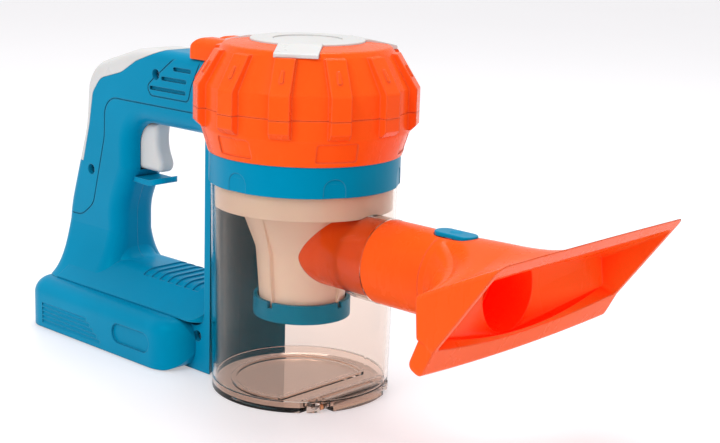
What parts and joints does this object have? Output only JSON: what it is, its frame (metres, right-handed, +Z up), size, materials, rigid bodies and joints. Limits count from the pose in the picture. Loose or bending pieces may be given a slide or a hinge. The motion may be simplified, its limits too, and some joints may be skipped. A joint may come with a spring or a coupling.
{
  "type": "toy handheld vacuum cleaner",
  "caption": "Toy handheld vacuum cleaner with a clear bin, a ribbed round motor head, a loop handle on a battery foot and a wide slanted nozzle.",
  "frame": {"origin": "axis of the bin at the underside of its base door, on the surface that the object stands on", "axes": "+X forward to the nozzle, +Z up, handle and foot towards -X"},
  "size_m": [0.3749, 0.1418, 0.1856],
  "materials": {
    "teal_plastic": "semi-gloss moulded",
    "orange_plastic": "gloss moulded",
    "white_plastic": "gloss moulded",
    "cream_plastic": "satin moulded",
    "clear_plastic": "clear with a faint warm tint",
    "smoky_plastic": "smoky brown, clear",
    "dark_plastic": "matt",
    "grey_plastic": "matt",
    "steel": "plain",
    "nickel": "bright",
    "copper_wire": "copper coloured wire",
    "seal_rubber": "matt",
    "cell_sleeve": "gloss sleeve",
    "wire_sleeve": "matt sleeve"
  },
  "bodies": {
    "main": {"cap_lower": "orange_plastic", "cap_upper": "orange_plastic", "top_disc": "white_plastic", "motor_plate": "dark_plastic", "motor_bracket": "dark_plastic", "motor_can": "steel", "motor_screws": "steel", "bracket_screws": "steel", "collar_ring": "teal_plastic", "bin_tube": "clear_plastic", "bin_seal": "seal_rubber", "cyclone_body": "cream_plastic", "cyclone_ring": "teal_plastic", "filter_disc": "grey_plastic", "hinge_block": "smoky_plastic", "hinge_pin": "steel", "door_spring": "copper_wire", "inlet_pipe": "orange_plastic", "nozzle_seal": "seal_rubber", "handle_shell_right": "teal_plastic", "handle_shell_left": "teal_plastic", "rear_trim": "white_plastic", "trigger_pin": "steel", "trigger_spring": "steel", "trigger_switch": "dark_plastic", "switch_wires": "wire_sleeve", "finger_guard": "teal_plastic", "side_screws": "steel", "battery_case": "teal_plastic", "battery_cells": "cell_sleeve", "battery_contacts": "nickel", "battery_springs": "steel"},
    "trigger": {"trigger": "white_plastic"},
    "fan": {"impeller": "dark_plastic", "motor_shaft": "steel"},
    "bin_door": {"base_door": "smoky_plastic"},
    "nozzle": {"nozzle": "orange_plastic", "button_spring": "steel"},
    "release_button": {"release_button": "teal_plastic"},
    "battery_door": {"battery_door": "teal_plastic", "battery_door_screw": "steel"}
  },
  "joints": [
    {"name": "trigger_pull", "type": "hinge", "parent": "main", "child": "trigger", "pos_m": [-0.128, 0, 0.131], "axis": [0, 1, 0], "range_deg": [0, 7], "stiffness_Nm_per_rad": 0.3, "springref_deg": -2.86, "deforming": ["trigger_spring"]},
    {"name": "fan_spin", "type": "hinge", "parent": "main", "child": "fan", "pos_m": [0, 0, 0.14], "axis": [0, 0, 1], "continuous": true},
    {"name": "bin_door_hinge", "type": "hinge", "parent": "main", "child": "bin_door", "pos_m": [0.0384, 0, 0.0025], "axis": [0, -1, 0], "range_deg": [0, 90]},
    {"name": "nozzle_pull", "type": "slide", "parent": "main", "child": "nozzle", "axis": [1, 0, 0], "range_m": [0, 0.03]},
    {"name": "button_press", "type": "slide", "parent": "nozzle", "child": "release_button", "axis": [0, 0, -1], "range_m": [0, 0.0012], "stiffness_N_per_m": 900, "deforming": ["button_spring"]},
    {"name": "battery_door_pull", "type": "slide", "parent": "main", "child": "battery_door", "axis": [0, 0, -1], "range_m": [0, 0.03]}
  ]
}
